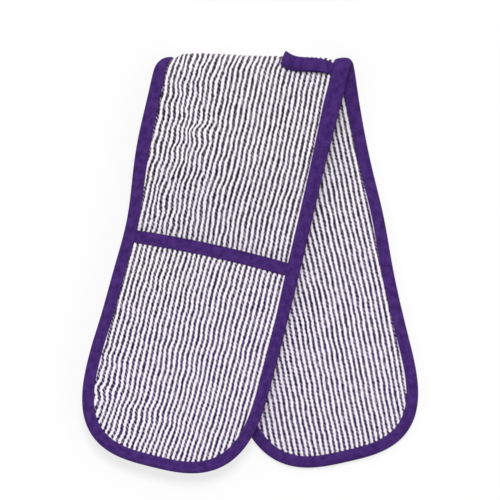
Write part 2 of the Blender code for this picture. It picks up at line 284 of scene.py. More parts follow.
SLACK = (0, 0.080, 0.0025)
WAIST = (MOUTH, EDGE_SPREAD, -0.0045)
LOOP_SIDE = (0.115, EDGE_SPREAD, 0.0014)
FRONT = Half(
    "front_half",
    FRONT_LENGTH,
    FRONT_SKEW,
    mirror=1,
    left=(SLACK, LOOP_SIDE, (0.285, EDGE_SPREAD, -0.0026), WAIST),
    left_tape=(LOOP_SIDE,),
)
REAR = Half(
    "rear_half",
    REAR_LENGTH,
    REAR_SKEW,
    mirror=-1,
    left=((0.110, EDGE_SPREAD, 0.0010), (0.190, EDGE_SPREAD, 0.0032)),
    right=(SLACK,),
)


def smooth(x):
    x = np.clip(x, 0, 1)
    return x * x * (3 - 2 * x)


def ease(x, start, over):
    """0 up to start, and 1 once over is passed too."""
    return smooth((x - start) / over)


def bump(distance, spread):
    return np.exp(-((distance / spread) ** 2))


def ripple(along, across, seed, wavelength, count=7):
    """Smooth noise of about -1 to 1: a few waves of like length in scattered directions."""
    scatter = np.random.default_rng(seed)
    total = 0
    for _ in range(count):
        turn = scatter.uniform(0, 2 * pi)
        length = wavelength * scatter.uniform(0.7, 1.5)
        phase = scatter.uniform(0, 2 * pi)
        total = total + np.sin(2 * pi * (along * cos(turn) + across * sin(turn)) / length + phase)
    return total / np.sqrt(2 * count)


# The flat plan of a half


def centre_line(half, along):
    share = along / half.length
    return 4 * SWAY * share * (1 - share)


def bumps(along, places):
    return sum((out * bump(along - at, spread) for at, spread, out in places), np.zeros_like(along))


def flare(half, along, side):
    """The tape spreads at the loop's end of the fold, and is pinched on the crest at the other end."""
    crest = -side * WIDTH / 2 * tan(half.skew)
    pinch = PINCH * bump(along - crest, PINCH_SPREAD)
    spread = np.where(side < 0, bumps(along, half.left_tape), 0)
    return spread + np.where(side == half.mirror, FLARE * bump(along, FLARE_SPREAD), -pinch)


def half_width(half, along, side):
    """From the middle of the strip to its edge, without the flare at the fold."""
    along = np.minimum(along, half.fan_centre)
    return WIDTH / 2 + np.where(side < 0, bumps(along, half.left), bumps(along, half.right))


def skewed_share(half, row):
    to_mouth = ease(row, half.bend_end, CAVITY_FULL - half.bend_end)
    to_end = ease(row, MOUTH, half.fan_centre - MOUTH)
    return 1 - to_mouth + MOUTH_SKEW_SHARE * (to_mouth - to_end)


def row_along(half, row, across):
    """How far along the strip a row lies. Rows past the fan's centre follow the rounded end."""
    bow = MOUTH_BOW * bump(row - MOUTH, BOW_SPREAD) * (1 - (2 * across / WIDTH) ** 2)
    parallel = row
    for _ in range(4):
        parallel = row - (across + centre_line(half, parallel)) * tan(half.skew)
    share = skewed_share(half, row)
    straight = share * parallel + (1 - share) * (row - bow)
    hemmed = half_width(half, straight, np.sign(across)) - HEM + END_MARGIN
    reach = (1 - np.clip(np.abs(across) / hemmed, 0, END_SHARE) ** END_POWER) ** (1 / END_POWER)
    ended = half.fan_centre + (row - half.fan_centre) * reach
    return np.where(row > half.fan_centre, ended, straight)


def to_tangent(forward, sideways, width):
    """From the fan's centre square to the rounded end's tangent at a place of its outline."""
    lean_along = (forward / END_LENGTH) ** (END_POWER - 1) / END_LENGTH
    lean_across = (sideways / width) ** (END_POWER - 1) / width
    steepness = np.maximum(np.hypot(lean_along, lean_across), 1e-12)
    return (forward * lean_along + sideways * lean_across) / steepness


def inset_of(half, along, across):
    """How far in from the bound edge a place of the plan lies."""
    width = half_width(half, along, np.sign(across))
    sideways = np.abs(across)
    forward = np.maximum(along - half.fan_centre, 0)
    level = (sideways / width) ** END_POWER + (forward / END_LENGTH) ** END_POWER
    level = np.maximum(level, 1e-9) ** (1 / END_POWER)
    round_inset = (1 - level) * to_tangent(forward / level, sideways / level, width)
    return np.where(forward > 0, round_inset, width - sideways)


def over_fold(half, along, across):
    """A place's x from the hinge, and its distance over the fold."""
    sideways = across + centre_line(half, along)
    x = half.mirror * (sideways * cos(half.skew) - along * sin(half.skew))
    return x, along * cos(half.skew) + sideways * sin(half.skew)


def crest_x(half, across):
    """X of the strip's threads on the fold's crest, from the hinge."""
    return over_fold(half, row_along(half, np.zeros_like(across), across), across)[0]


def place(half, along, across, depth):
    """World position of a place on the plan. Both halves meet thread for thread on the crest."""
    x, from_fold = over_fold(half, along, across)
    other = REAR if half is FRONT else FRONT
    miss = (crest_x(other, -across) - crest_x(half, across)) / 2
    x = x + miss * bump(from_fold, FOLD_REACH / 2)
    angle = np.clip(from_fold / FOLD_RADIUS, 0, pi / 2)
    radius = FOLD_RADIUS - depth
    y = radius * np.cos(angle) - FOLD_RADIUS - np.maximum(from_fold - FOLD_RADIUS * pi / 2, 0)
    thread = half.mirror * across
    rise = CREST_RISE * bump(thread + CREST_RISE_AT, CREST_RISE_SPREAD)
    fall = CREST_FALL * ease(-thread, CREST_FALL_FROM, WIDTH / 2 - CREST_FALL_FROM)
    y = y + (rise - fall) * bump(from_fold, FOLD_REACH * 0.4)
    x = x + CREST_LEAN * bump(from_fold, CREST_LEAN_SPREAD) * (1 - ease(thread, *CREST_LEAN_ENDS))
    z = GAP / 2 * smooth(from_fold / HALVES_PART_OVER) + radius * np.sin(angle)
    return HINGE + np.stack([x, y - HINGE_REACH, half.mirror * z], axis=-1)


# Depths below the outer plane of a half


def by_station(values, inset):
    """A value set at the stations, rounded off between them."""
    steps = np.arange(*STATION_RANGE, STATION_STEP)
    weights = bump(np.arange(-ROUNDING_STEPS, ROUNDING_STEPS + 1) * STATION_STEP, ROUNDING)
    table = np.convolve(np.interp(steps, STATIONS, values), weights / weights.sum(), "same")
    return np.interp(inset, steps, table)


def outer_depth(inset):
    return by_station(OUTER_DEPTHS, inset)


def quilt_thickness(wadding, inset):
    return 2 * FABRIC + 2 * GAP + wadding * by_station(WADDING_SHARES, inset)


def panel_top(half, row, inset):
    """The strip drops away under the pocket, and is crowned on the fold."""
    dropped = ease(row, CAVITY_FROM, CAVITY_FULL - CAVITY_FROM)
    hollow = GAP + (CAVITY - GAP) * by_station(CAVITY_SHARES, inset)
    under = outer_depth(inset) + quilt_thickness(POCKET_WADDING, inset) + hollow
    crown = FOLD_CROWN * np.cos(np.clip(row / half.bend_end, 0, 1) * pi / 2) ** 2
    swell = crown * ease(inset, TAPE_WIDTH, FOLD_CROWN_EDGE)
    return outer_depth(inset) * (1 - dropped) + under * dropped - swell


def panel_bottom(half, row, inset):
    return panel_top(half, row, inset) + quilt_thickness(PANEL_WADDING, inset)


def pocket_top(half, row, inset):
    """The pocket dips under its mouth's tape."""
    return np.maximum(outer_depth(inset), TAPE_LIFT * (1 - ease(row, *MOUTH_DIP)))


def pocket_bottom(half, row, inset):
    wadding = POCKET_WADDING * ease(row, *POCKET_FILLS)
    return pocket_top(half, row, inset) + quilt_thickness(wadding, inset)


# Mesh building


def add_object(name, data):
    obj = bpy.data.objects.new(name, data)
    bpy.context.scene.collection.objects.link(obj)
    return obj


def layout_grid(shape, box=(0, 0, 1, 1)):
    """Even coordinates of a grid's corners over a box: left, low, right, high."""
    left, low, right, high = box
    rows, columns = np.linspace(low, high, shape[0]), np.linspace(left, right, shape[1])
    return np.stack(np.meshgrid(columns, rows), axis=-1)


class MeshBuild:
    """Collects quads with two UV maps: the cloth's own coordinates, and a flat layout of all faces."""

    def __init__(self):
        self.points = []
        self.count = 0
        self.quads = []
        self.weave = []
        self.layout = []

    def add_points(self, points):
        index = self.count + np.arange(points[..., 0].size).reshape(points.shape[:-1])
        self.points.append(points.reshape(-1, 3))
        self.count += index.size
        return index

    def add_quads(self, index, weave, layout, flip=False):
        """index, weave and layout are grids of corners; every cell of the grid becomes a quad."""

        def corners(grid):
            cells = [grid[:-1, :-1], grid[:-1, 1:], grid[1:, 1:], grid[1:, :-1]]
            cells = cells[::-1] if flip else cells
            return np.stack([cell.reshape(-1, *grid.shape[2:]) for cell in cells], axis=1)

        self.quads.append(corners(index))
        self.weave.append(corners(weave))
        self.layout.append(corners(layout))

    def grid(self, points, weave, box=(0, 0, 1, 1), flip=False):
        index = self.add_points(points)
        self.add_quads(index, weave, layout_grid(index.shape, box), flip)
        return index

    def tube(self, rings, weave, box=(0, 0, 1, 1)):
        """A closed tube through rings of points. weave has one column more than the rings do."""
        index = self.add_points(rings)
        index = np.concatenate([index, index[:, :1]], axis=1)
        left, low, right, high = box
        side = left + (right - left) * 0.94
        self.add_quads(index, weave, layout_grid(index.shape, (left, low, side, high)))
        half = rings.shape[1] // 2
        for end, flip, start, stop in ((0, True, 0.95, 0.97), (-1, False, 0.98, 1)):
            ring = index[end, :-1]
            cap = np.stack([ring[:half], ring[: half - 1 : -1]])
            start, stop = (left + (right - left) * share for share in (start, stop))
            threads = np.stack([weave[end, :half], weave[end, -2 : half - 1 : -1]])
            self.add_quads(cap, threads, layout_grid(cap.shape, (start, low, stop, high)), flip)

    def finish(self, name, material=None, slot=None):
        """The object, with its faces turned outward. One without a material isn't part of the glove."""
        points = np.concatenate(self.points)
        quads, weave, layout = (np.concatenate(part) for part in (self.quads, self.weave, self.layout))
        a, b, c, d = (points[quads[:, i]] for i in range(4))
        volume = np.sum(a * (np.cross(b, c) + np.cross(c, d)))
        if volume < 0:
            quads, weave, layout = quads[:, ::-1], weave[:, ::-1], layout[:, ::-1]
        mesh = bpy.data.meshes.new(name)
        mesh.vertices.add(len(points))
        mesh.vertices.foreach_set("co", points.astype(np.float32).ravel())
        mesh.loops.add(quads.size)
        mesh.loops.foreach_set("vertex_index", quads.astype(np.int32).ravel())
        mesh.polygons.add(len(quads))
        mesh.polygons.foreach_set("loop_start", np.arange(0, quads.size, 4, dtype=np.int32))
        for layer, corners in (("Weave", weave), ("OFBake", layout)):
            uv = mesh.uv_layers.new(name=layer)
            uv.data.foreach_set("uv", corners.astype(np.float32).ravel())
        mesh.update(calc_edges=True)
        mesh.shade_smooth()
        mesh.set_sharp_from_angle(angle=radians(50))
        obj = add_object(name, mesh)
        if material:
            mesh.materials.append(material)
        return obj


def slab(name, outer, inner, weave, material, slot):
    """A closed cloth from the grids of its two faces."""
    build = MeshBuild()
    top = build.grid(outer, weave, (0, 0, 0.93, 1))
    bottom = build.grid(inner, weave, (0.96, 0, 1, 1), flip=True)
    walls = (
        (top[0], bottom[0], weave[0], True),
        (top[-1], bottom[-1], weave[-1], False),
        (top[:, 0], bottom[:, 0], weave[:, 0], False),
        (top[:, -1], bottom[:, -1], weave[:, -1], True),
    )
    for i, (upper, lower, threads, flip) in enumerate(walls):
        left = 0.935 + 0.005 * i
        layout = layout_grid((2, len(upper)), (0, left, 1, left + 0.003))[..., ::-1]
        build.add_quads(np.stack([upper, lower]), np.stack([threads, threads]), layout, flip)
    return build.finish(name, material, slot)


# Quilting


@dataclass(frozen=True)
class Quilt:
    """How a quilted cloth lies over its wadding.

    Seams lie lower than the middles of the diamonds by relief, and the middles stand proud of the
    solid: each is for the rear and the front half. lean is how far the threads lean sideways over
    the diamonds, on the strip's left and right. They wander too, are rumpled round one place, and
    pushed aside at others: (along the strip, across it, how far)."""

    field: tuple
    seed: int
    relief: tuple
    proud: tuple = (0, 0)
    lean: tuple = (0, 0)
    wander: float = 0.00035
    rumple: float = 0
    rumpled_at: tuple = (0, 0)
    pushes: tuple = ()

    def drift(self, strip, thread, puff, inset):
        """How far to the side of their straight course the threads lie."""
        share = 0.5 + thread / WIDTH
        lean = self.lean[0] * (1 - share) + self.lean[1] * share
        wide = ripple(strip, thread * 0.3, self.seed, WANDER_WAVE)
        fine = ripple(strip, thread * 0.6, self.seed + 1, WANDER_FINE_WAVE)
        free = 0.25 + 0.75 * ease(inset, *WANDER_FREE)
        wandered = (lean * puff + self.wander * (wide + 0.4 * fine)) * free
        near = bump(np.hypot(strip - self.rumpled_at[0], thread - self.rumpled_at[1]), RUMPLE_SPREAD)
        pushed = self.rumple * ripple(strip, thread * 0.4, self.seed + 2, RUMPLE_WAVE) * near
        for at_strip, at_thread, amount in self.pushes:
            near = bump(strip - at_strip, PUSH_ALONG) * bump(thread - at_thread, PUSH_ACROSS)
            pushed = pushed + amount * near
        return wandered + pushed * ease(inset, *PUSH_FREE)

    def recess(self, strip, puff, inset):
        """How much deeper than its plane the cloth lies."""
        front = smooth(0.5 + strip / FOLD_REACH / 2)
        relief, proud = ((1 - front) * pair[0] + front * pair[1] for pair in (self.relief, self.proud))
        return ease(inset, *PUFF_FREE) * (relief * (1 - puff) - proud)


def diamonds(along, across):
    """0 on the quilting's seams and 1 in the middle of each diamond."""
    plus = np.abs(np.sin(pi * (along - QUILT_ALONG + across - QUILT_ACROSS) / DIAMOND))
    minus = np.abs(np.sin(pi * (along - QUILT_ALONG - across + QUILT_ACROSS) / DIAMOND))
    return np.sqrt(plus * minus)


def settle_quilt(seed):
    """Heights of a quilted cloth over its seams, from a simulation of a sheet cut too large.

    The seams are held, and the slack cloth lifts off between them. The result is the grid's places
    along and across the strip, and the heights there, from 0 to about 1."""
    first = np.floor((-REAR_LENGTH - QUILT_ALONG) / QUILT_CELL)
    last = (FRONT_LENGTH - QUILT_ALONG) / QUILT_CELL + 1
    reach = np.ceil((WIDTH / 2 + QUILT_ACROSS) / QUILT_CELL)
    along = np.arange(first, last) * QUILT_CELL + QUILT_ALONG
    across = np.arange(-reach, reach + 1) * QUILT_CELL + QUILT_ACROSS
    grid_along, grid_across = np.meshgrid(along, across, indexing="ij")
    shape = diamonds(grid_along, grid_across)
    held = shape < 0.01
    held[[0, -1], :] = True
    held[:, [0, -1]] = True
    lift = QUILT_LIFT * shape * (1.5 + ripple(grid_along, grid_across, seed, QUILT_LIFT_WAVE))
    points = np.stack([grid_across, grid_along, np.where(held, 0, lift)], axis=-1)
    build = MeshBuild()
    build.grid(points, layout_grid(shape.shape))
    sheet = build.finish("quilt_sheet")
    seams = sheet.vertex_groups.new(name="seams")
    seams.add([int(i) for i in np.flatnonzero(held.ravel())], 1, "REPLACE")
    cloth = sheet.modifiers.new("Cloth", "CLOTH").settings
    cloth.quality = 5
    cloth.mass = 0.05
    cloth.bending_stiffness = 0.3
    cloth.vertex_group_mass = "seams"
    cloth.shrink_min = -0.03
    cloth.effector_weights.gravity = -0.3
    for step in range(QUILT_STEPS):
        bpy.context.scene.frame_set(step + 1)
    settled = sheet.evaluated_get(bpy.context.evaluated_depsgraph_get())
    flat = np.empty(3 * held.size)
    settled.data.vertices.foreach_get("co", flat)
    bpy.context.scene.frame_set(1)
    bpy.data.objects.remove(sheet)
    height = flat[2::3].reshape(held.shape)
    return along, across, np.clip(height / np.percentile(height, 97), 0, 1.12)


def sample(field, along, across):
    """Reads a field between the points of its grid."""
    grid_along, grid_across, values = field
    i = np.clip((along - grid_along[0]) / QUILT_CELL, 0, len(grid_along) - 1.001)
    j = np.clip((across - grid_across[0]) / QUILT_CELL, 0, len(grid_across) - 1.001)
    i0, j0 = i.astype(int), j.astype(int)
    u, v = i - i0, j - j0
    near = values[i0, j0] * (1 - v) + values[i0, j0 + 1] * v
    far = values[i0 + 1, j0] * (1 - v) + values[i0 + 1, j0 + 1] * v
    return near * (1 - u) + far * u


# Cloths and waddings


@dataclass(frozen=True)
class Layer:
    """One cloth of a quilt. side is 1 on the wadding's outer side, and -1 on its inner side.

    depth gives the depth of the cloth's good side from a half, a row and an inset."""

    quilt: Quilt
    depth: Callable
    side: int
    material: bpy.types.Material
    slot: str = "striped_cotton"
    corded: bool = True


def threads_by(step, spare=0):
    """Places across the strip, from hem to hem, at whole steps from its middle, and spare on the right."""
    count = int((WIDTH / 2 - HEM) / step)
    return np.arange(-count, count + int(spare / step) + 1) * step


def rows_by(start, end, step):
    return np.linspace(start, end, max(2, round(abs(end - start) / step) + 1))


def cord_profile(thread):
    """0 on the crown of each white cord and 1 in the dark groove between two cords."""
    from_groove = np.abs(np.mod(thread / STRIPE + 0.5, 1) - 0.5)
    return smooth(1 - from_groove / GROOVE_SHARE)


def squeeze(seat):
    """Draws threads that lie past the hem in under the edge's tape. seat is a grid of whole rows."""
    knee = WIDTH / 2 - SQUEEZE_INSET
    hem = WIDTH / 2 - HEM
    reach = np.where(seat < 0, -seat[:, :1], seat[:, -1:])
    share = np.minimum((hem - knee) / (reach - knee), 1)
    past = np.maximum(np.abs(seat) - knee, 0)
    return np.sign(seat) * (np.abs(seat) - past * (1 - share))


def cloth_grid(half, rows, threads, layer, slant):
    """Places of a cloth over rows of a half, their depths, and the cloth's own coordinates there.

    slant is how steeply the threads turn off the strip's line towards its rounded end."""
    row, thread = np.meshgrid(rows, threads, indexing="ij")
    turned = np.maximum(row - SLANT_FROM, 0)
    seat = squeeze(thread - slant * turned**2 / (turned + SLANT_EASE))
    across = half.mirror * seat
    side = np.sign(across)
    along = row_along(half, row, across)
    strip = half.mirror * along
    inset = inset_of(half, along, across)
    puff = sample(layer.quilt.field, strip, seat)
    shift = half.mirror * layer.quilt.drift(strip, seat, puff, inset)
    edge = half_width(half, along, side) + flare(half, along, side) - CLOTH_MARGIN
    moved = np.clip(across + shift, -edge, edge)
    recess = layer.side * layer.quilt.recess(strip, puff, inset)
    level = layer.depth(half, row, inset_of(half, along, moved)) + recess
    return along, moved, level, np.stack([layer.side * thread, strip], axis=-1) / STRIPE


def lay(layer, stretches, threads, thicknesses, slant=0):
    """Faces of a cloth or wadding at a few thicknesses below the layer's good side, and its weave."""
    faces = [[] for _ in thicknesses]
    weaves = []
    for half, rows in stretches:
        rows = rows[::-1] if half is REAR else rows
        along, across, level, weave = cloth_grid(half, rows, threads, layer, slant)
        for face, thickness in zip(faces, thicknesses):
            face.append(place(half, along, across, level + layer.side * thickness))
        weaves.append(weave)
    return *(np.concatenate(face) for face in faces), np.concatenate(weaves)


def cloth_piece(name, stretches, layer, slant=0):
    spare = slant * (REAR_LENGTH - SLANT_FROM - SLANT_EASE)
    threads = threads_by(STRIPE / CORD_COLUMNS if layer.corded else STRIPE / 2, spare)
    groove = CORD_RISE * cord_profile(threads) if layer.corded else 0
    good, back, weave = lay(layer, stretches, threads, (groove, CLOTH), slant)
    return slab(name, good, back, weave, layer.material, layer.slot)


def wadding_piece(name, stretches, outer, inner):
    """The wadding between two cloths, drawn in along the quilting."""
    threads = threads_by(STRIPE * 0.7)
    upper, weave = lay(outer, stretches, threads, [CLOTH + GAP])
    lower, _ = lay(inner, stretches, threads, [CLOTH + GAP])
    return slab(name, upper, lower, weave, WADDING, "wadding")


# Bound edges


@dataclass(frozen=True)
class Rim:
    """A run of places along a bound edge, each with its row. along and across hold all insets."""

    half: Half
    rows: np.ndarray
    along: np.ndarray
    across: np.ndarray


def side_rim(half, rows, side, insets):
    """Places of the plan at insets from a long edge, for each row."""
    row, inset = np.meshgrid(rows, insets, indexing="ij")
    edge = row_along(half, row, side * WIDTH / 2 * np.ones_like(row))
    spread = flare(half, edge, side)
    widest = TAPE_REACH if half is FRONT and side == half.mirror else 0
    wider = widest * smooth(edge / TAPE_REACH_OVER) * (1 - ease(edge, *TAPE_REACH_ENDS))
    inset = inset + (spread + wider) * np.clip(inset / TAPE_WIDTH, 0, 1)
    across = side * (half_width(half, edge, side) + spread - inset)
    return row_along(half, row, across), across


def end_rim(half, angles, insets):
    """Places of the plan at insets from the rounded end, for each angle round it."""
    angle, inset = np.meshgrid(angles, insets, indexing="ij")
    side = np.where(np.cos(angle) > 0, 1, -1)
    power = 2 / END_POWER
    forward = END_LENGTH * np.abs(np.sin(angle)) ** power
    width = half_width(half, half.fan_centre, side)
    sideways = width * np.abs(np.cos(angle)) ** power
    kept = 1 - inset / to_tangent(forward, sideways, width)
    return half.fan_centre + forward * kept, side * sideways * kept


def even_angles(half):
    """Angles round the rounded end that part its edge into equal steps, without its two ends."""
    angles = np.linspace(0, pi, 4001)
    along, across = (line[:, 0] for line in end_rim(half, angles, [0.0]))
    length = run_length(np.stack([along, across], axis=-1))
    places = np.linspace(0, length[-1], round(length[-1] / RIM_STEP) + 1)
    return np.interp(places, length, angles)[1:-1]


def edge_rims(half, insets):
    """The edge of a half from the fold section, round the rounded end and back, in one run."""
    rows = rows_by(FOLD_REACH, half.fan_centre, RIM_STEP)
    angles = even_angles(half)
    parts = (
        side_rim(half, rows, 1, insets),
        end_rim(half, angles, insets),
        side_rim(half, rows[::-1], -1, insets),
    )
    along, across = (np.concatenate(places) for places in zip(*parts))
    all_rows = np.concatenate([rows, np.full(len(angles), half.length), rows[::-1]])
    return [Rim(half, all_rows[:, None], along, across)]


def fold_rims(side, insets):
    """The edge over the fold on the right (1) or left (-1) of the strip: the rear and the front run."""
    rims = []
    for half, start, end in ((REAR, FOLD_REACH, FOLD_ROW), (FRONT, 0, FOLD_REACH)):
        rows = rows_by(start, end, FOLD_ROW)
        rims.append(Rim(half, rows[:, None], *side_rim(half, rows, side * half.mirror, insets)))
    return rims


def mouth_rims(half, insets):
    """The pocket's mouth from one edge's tape to the other. Insets are counted in from the mouth."""
    reach = WIDTH / 2 - MOUTH_TAPE_INSET
    across, inset = np.meshgrid(rows_by(-reach, reach, RIM_STEP), insets, indexing="ij")
    across = across * half_width(half, MOUTH, np.sign(across)) / (WIDTH / 2)
    row = MOUTH + inset
    return [Rim(half, row, row_along(half, row, across), across)]


def edge_levels(rim, inset):
    """Depths of what the edge's tape covers: the strip, and past the mouth the pocket on it."""
    on_pocket = ease(rim.rows, *TAPE_ON_POCKET)
    top = panel_top(rim.half, rim.rows, inset) * (1 - on_pocket) + outer_depth(inset) * on_pocket
    return top, panel_bottom(rim.half, rim.rows, inset)


def mouth_levels(rim, _):
    """Depths of the pocket at its mouth, where the tape dips under the tape of the edges."""
    from_edge = inset_of(rim.half, rim.along, rim.across)
    dip = MOUTH_TAPE_DIP * (1 - ease(from_edge, *MOUTH_TAPE_RISES))
    top = pocket_top(rim.half, rim.rows, from_edge) + dip
    bottom = np.maximum(pocket_bottom(rim.half, rim.rows, from_edge), top + 2 * FABRIC + GAP)
    return top, bottom


@dataclass(frozen=True)
class Binding:
    """A tape folded round an edge.

    levels gives the depths of the two faces between its legs, from a rim and its insets. plump is
    how far the legs swell on the outer and on the inner side."""

    width: float
    levels: Callable
    plump: tuple
    seed: int

    @property
    def ring(self):
        """(inset, face, outside) of each point round the folded tape.

        face is 0 on the outer side and 1 on the inner one. outside is 1 on the tape's own outside."""
        insets = [inset * self.width / TAPE_WIDTH for inset in TAPE_INSETS]
        inside = [inset for inset in insets if inset > TAPE_LIFT]
        ring = [(inset, 0, 1) for inset in insets[::-1]] + [(inset, 1, 1) for inset in insets]
        ring += [(inset, 1, 0) for inset in inside[::-1]] + [(inset, 0, 0) for inset in inside]
        return np.array(ring)

    def depths(self, ring, rim):
        """Depths of points of the tape along a rim.

        On the fold its legs swell more where the tape is spread, and on the floor they lie flat."""
        inset, face, outside = ring.T
        top, bottom = self.levels(rim, inset)
        middle = (top + bottom) / 2
        half_thickness = (bottom - top) / 2
        off_floor = 1 - smooth(rim.rows / FLOOR_OVER) if rim.half is REAR else 1
        leg = np.where(face == 0, self.plump[0] * off_floor, self.plump[1])
        spread = np.maximum(flare(rim.half, rim.along, np.sign(rim.across)), 0) / FLARE
        crest = 1 + CREST_SWELL * spread * bump(rim.rows, FOLD_REACH / 2)
        swell = np.sin(pi * np.clip(inset / self.width, 0, 1) ** 0.8) * leg * crest
        full = half_thickness + TAPE_LIFT + swell
        corner = np.minimum(full[..., :1], TAPE_CORNER)
        bend = 1 - np.sqrt(np.clip(1 - (1 - np.clip(inset / corner, 0, 1)) ** 2, 0, 1))
        hem = TAPE / 2 * ease(inset, self.width - TAPE_HEM, TAPE_HEM)
        own_outside = full - corner * bend - hem
        own_inside = half_thickness + GAP / 2 + hem * 0.3 + swell
        return middle + np.where(face == 0, -1, 1) * np.where(outside > 0, own_outside, own_inside)


def run_length(points):
    """Distance along a line of points."""
    steps = np.linalg.norm(np.diff(points, axis=0), axis=-1)
    return np.concatenate([[0], np.cumsum(steps)])


def woven_tape(name, points, around, distance):
    """A closed tape through rings of points, with the distances round them and along it."""
    build = MeshBuild()
    build.tube(points, np.stack(np.meshgrid(around, distance), axis=-1) / TAPE_WIDTH)
    return build.finish(name, PURPLE, "purple_cotton")


def tape_piece(name, binding, rims_at, where):
    """A tape round an edge, through one ring of points for each place along it."""
    ring = binding.ring
    _, face, outside = ring.T
    rings = []
    for rim in rims_at(where, ring[:, 0]):
        depth = binding.depths(ring, rim)
        edge = place(rim.half, rim.along[:, :1], rim.across[:, :1], depth[:, :1])
        wave = TAPE_RIPPLE * ripple(edge[..., 0], edge[..., 1], binding.seed, TAPE_WAVE)
        rippled = np.where(face == 0, binding.plump[0] * (rim.half is FRONT), binding.plump[1]) > 0
        rings.append(place(rim.half, rim.along, rim.across, depth - wave * outside * rippled))
    points = np.concatenate(rings)
    around = run_length(np.concatenate([points[0], points[0, :1]]))
    return woven_tape(name, points, around, run_length(points[:, len(ring) // 4]))


# Sewing threads


def along_line(places, distance, values):
    """Values at places along a line, between its points."""
    return np.stack([np.interp(places, distance, column) for column in values.T], axis=1)


def stitches_along(binding, rims_at, where):
    """Starts, ends and outward directions of the stitches on both faces of a tape."""
    seam = np.array([(binding.width - STITCH_MARGIN, face, 1) for face in (0, 1)])
    rims = rims_at(where, seam[:, 0])
    parts = []
    for face, inward in ((0, 1), (1, -1)):
        lines = []
        for rim in rims:
            flat = rim.half, rim.along[:, face], rim.across[:, face]
            depth = binding.depths(seam, rim)[:, face]
            depth = depth + (STITCH_PRESSED if rim.half is REAR and face == 0 else 0)
            lines.append((place(*flat, depth), place(*flat, depth - inward * NORMAL_STEP)))
        surface, above = (np.concatenate(line) for line in zip(*lines))
        distance = run_length(surface)
        count = int(distance[-1] / STITCH)
        begin = (np.arange(count) + STITCH_START) * distance[-1] / count
        starts, ends = (along_line(begin + run, distance, surface) for run in (0, STITCH_SHARE * STITCH))
        outward = along_line(begin, distance, above - surface)
        parts.append((starts, ends, outward / np.linalg.norm(outward, axis=1, keepdims=True)))
    return [np.concatenate(part) for part in zip(*parts)]


def stitch_piece(name, binding, rims_at, where):
    """Short threads along a seam, bowed out of the tape and sunk into it at both ends."""
    starts, ends, outward = stitches_along(binding, rims_at, where)
    shares = np.array([0, 0.06, 0.2, 0.5, 0.8, 0.94, 1])
    radii = THREAD_RADIUS * np.array([0.15, 0.7, 1, 1, 1, 0.7, 0.15])
    bow = THREAD_RADIUS * (1.3 * np.sin(pi * shares) ** 0.5 - 0.9)
    turn = (np.arange(6) * pi / 3)[:, None]
    run = ends - starts
    sideways = np.cross(run / np.linalg.norm(run, axis=-1, keepdims=True), outward)
    centre = starts[:, None] + run[:, None] * shares[:, None] + outward[:, None] * bow[:, None]
    spokes = np.cos(turn) * outward[:, None, None] + np.sin(turn) * sideways[:, None, None]
    rings = centre[:, :, None] + spokes * radii[:, None, None]
    build = MeshBuild()
    weave = layout_grid((len(shares), len(turn) + 1), (0, 0, 1, 3))
    columns = int(np.ceil(np.sqrt(len(starts))))
    for i, stitch in enumerate(rings):
        left, low = (i % columns) / columns, (i // columns) / columns
        build.tube(stitch, weave, (left, low, left + 0.9 / columns, low + 0.9 / columns))
    return build.finish(name, THREAD, "purple_cotton")


# Hanging loop


def loop_line():
    """Middle of the doubled tape in the loop's own plane, from one sewn end to the other."""
    radius = (LOOP_GAP + LOOP_TAPE) / 2
    straight = LOOP_LENGTH - radius - LOOP_TAPE / 2
    low = LOOP_TAPE / 2
    start = low + LOOP_TAPE + GAP
    high = low + 2 * radius
    run = rows_by(0, straight, LOOP_STEP)
    turn = np.linspace(0, pi, 15)[1:-1]
    rise = rows_by(LOOP_RISE, 0, LOOP_STEP)
    back = rows_by(straight, LOOP_RISE, LOOP_STEP)[:-1]
    x = np.concatenate([run, straight + radius * np.sin(turn), back, rise])
    z = np.concatenate([
        np.full(len(run), low),
        low + radius * (1 - np.cos(turn)),
        np.full(len(back), high),
        start + (high - start) * smooth(rise / LOOP_RISE),
    ])
    return x, z - LOOP_TAPE - GAP / 2


def loop_tape():
    """The doubled tape, bowed, gathered at its sewn ends, crowned, and rolled over at its edge."""
    x, z = loop_line()
    run = np.stack([np.gradient(x), np.gradient(z)], axis=-1)
    run /= np.linalg.norm(run, axis=-1, keepdims=True)
    angle = np.linspace(0, 2 * pi, LOOP_SIDES, endpoint=False)
    flat = np.sign(np.cos(angle)) * np.abs(np.cos(angle)) ** 0.35 * LOOP_WIDTH / 2
    thick = np.sign(np.sin(angle)) * np.abs(np.sin(angle)) ** 0.5 * LOOP_TAPE / 2
    to_edge = 2 * flat / LOOP_WIDTH
    thinned = thick * (1 - 0.25 * to_edge**2)
    share = np.clip(x / LOOP_LENGTH, 0, 1)[:, None]
    bow = LOOP_BOW * 256 / 27 * share**3 * (1 - share) + LOOP_DROP * (1 - share)
    sink = LOOP_SINK * (1 - smooth(x / LOOP_SUNK))[:, None]
    crowned = LOOP_CROWN * share * (1 - to_edge**2)
    rolled = LOOP_ROLL * share * np.clip(z / z.max(), 0, 1)[:, None] * np.maximum(to_edge, 0) ** 2
    local = np.stack([
        x[:, None] - run[:, 1:] * thinned + LOOP_SHEAR * flat * share**2,
        flat * (1 - LOOP_GATHER * (1 - share)) + bow,
        z[:, None] + run[:, :1] * thinned - sink + crowned - rolled,
    ], axis=-1)
    turned = Matrix.Rotation(-LOOP_TILT, 3, "X") @ Matrix.Rotation(pi - LOOP_TURN, 3, "Z")
    around = np.linspace(0, 2 * (LOOP_WIDTH + LOOP_TAPE), LOOP_SIDES + 1)
    distance = run_length(np.stack([x, z], axis=-1))
    return woven_tape("loop_tape", LOOP_HINGE + local @ np.array(turned).T, around, distance)


# Materials


SHADER = "Principled BSDF"


